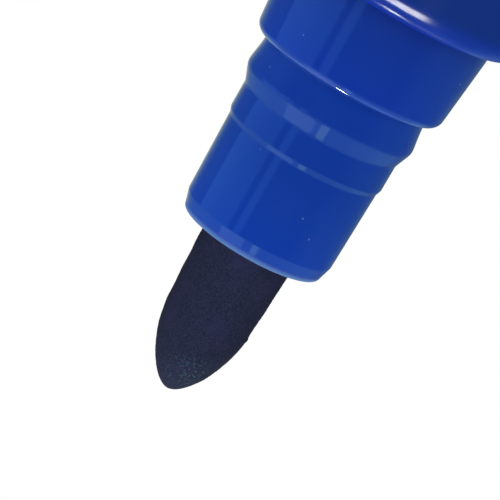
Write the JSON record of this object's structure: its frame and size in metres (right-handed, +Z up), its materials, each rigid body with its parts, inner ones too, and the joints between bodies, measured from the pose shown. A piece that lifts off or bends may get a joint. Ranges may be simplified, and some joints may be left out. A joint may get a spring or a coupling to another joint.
{
  "type": "whiteboard marker",
  "caption": "Bullet-tip whiteboard marker: glossy blue barrel and stepped nose section, dark fibre nib, cap with clip posted on the tail.",
  "frame": {"origin": "centre of the cap's flat closed end, which the marker stands on with the cap posted on its tail", "axes": "+Z up the marker's axis towards the nib, +X through the cap's clip"},
  "size_m": [0.0176, 0.015, 0.1562],
  "materials": {
    "barrel_plastic": "glossy moulded polypropylene",
    "label_film": "satin printed film",
    "nose_plastic": "glossy moulded polypropylene",
    "nib_fibre": "ground polyester fibre soaked in blue ink",
    "core_fibre": "polyester fibre soaked in blue ink",
    "wrap_film": "clear film",
    "plug_plastic": "glossy moulded polypropylene",
    "cap_plastic": "glossy moulded polypropylene",
    "liner_plastic": "translucent natural polypropylene"
  },
  "bodies": {
    "marker": {"barrel": "barrel_plastic", "label": "label_film", "nose_section": "nose_plastic", "nib": "nib_fibre", "ink_reservoir": "core_fibre", "reservoir_film": "wrap_film", "tail_plug": "plug_plastic"},
    "cap": {"cap": "cap_plastic", "cap_liner": "liner_plastic"}
  },
  "joints": [
    {"name": "cap_pull", "type": "slide", "parent": "marker", "child": "cap", "axis": [0, 0, -1], "range_m": [0, 0.03]}
  ]
}
